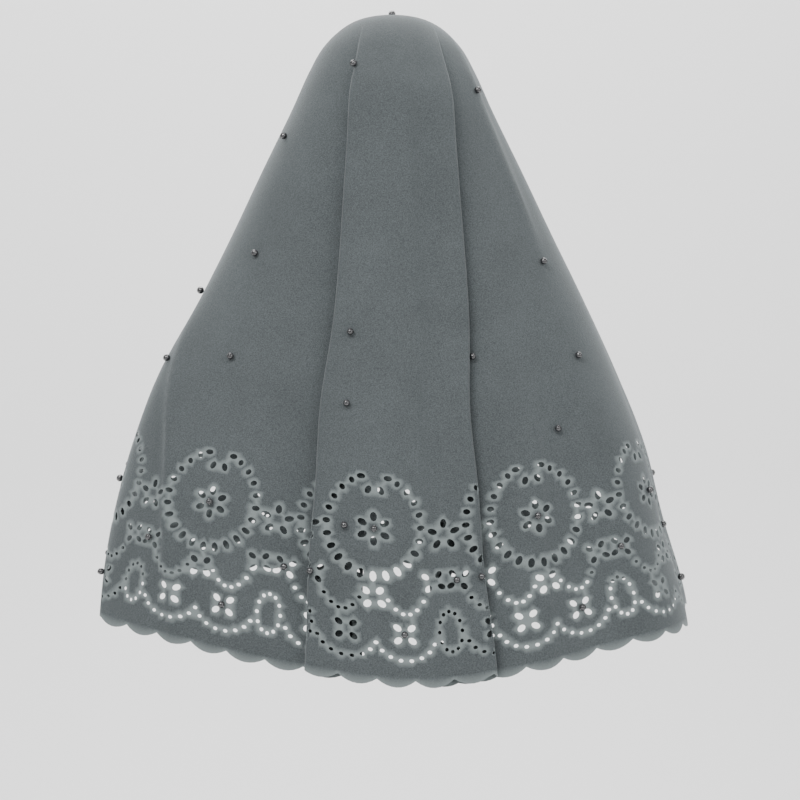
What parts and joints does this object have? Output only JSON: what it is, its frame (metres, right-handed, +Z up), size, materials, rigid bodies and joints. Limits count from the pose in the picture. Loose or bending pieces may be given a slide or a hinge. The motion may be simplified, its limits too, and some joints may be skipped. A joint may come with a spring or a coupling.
{
  "type": "lace headscarf",
  "caption": "Pull-on crepe headscarf with a face opening, box-pleated back, scalloped hem, cut flower border and sewn round beads, in its worn form.",
  "frame": {"origin": "inside of the crown, where the head carries the cloth", "axes": "+Z up and -Y the way the wearer faces, so the wearer's left is +X"},
  "size_m": [0.6361, 0.391, 0.7062],
  "materials": {
    "crepe": "matte charcoal crepe",
    "bead_gloss": "polished black"
  },
  "bodies": {
    "root": {"scarf_cloth": "crepe", "crown_bead": "bead_gloss", "ring_bead_00": "bead_gloss", "ring_bead_01": "bead_gloss", "ring_bead_02": "bead_gloss", "ring_bead_03": "bead_gloss", "ring_bead_04": "bead_gloss", "ring_bead_05": "bead_gloss", "ring_bead_06": "bead_gloss", "ring_bead_07": "bead_gloss", "ring_bead_08": "bead_gloss", "ring_bead_09": "bead_gloss", "ring_bead_10": "bead_gloss", "ring_bead_11": "bead_gloss", "ring_bead_12": "bead_gloss", "side_flower_bead_00": "bead_gloss", "side_flower_bead_01": "bead_gloss", "side_flower_bead_02": "bead_gloss", "side_flower_bead_03": "bead_gloss", "side_flower_bead_04": "bead_gloss", "side_flower_bead_05": "bead_gloss", "side_flower_bead_06": "bead_gloss", "side_flower_bead_07": "bead_gloss", "side_flower_bead_08": "bead_gloss", "side_flower_bead_09": "bead_gloss", "side_flower_bead_10": "bead_gloss", "side_flower_bead_11": "bead_gloss", "side_flower_bead_12": "bead_gloss", "strewn_bead_00": "bead_gloss", "strewn_bead_01": "bead_gloss", "strewn_bead_02": "bead_gloss", "strewn_bead_03": "bead_gloss", "strewn_bead_04": "bead_gloss", "strewn_bead_05": "bead_gloss", "strewn_bead_06": "bead_gloss", "strewn_bead_07": "bead_gloss", "strewn_bead_08": "bead_gloss", "strewn_bead_09": "bead_gloss", "strewn_bead_10": "bead_gloss", "strewn_bead_11": "bead_gloss", "strewn_bead_12": "bead_gloss"}
  },
  "joints": []
}
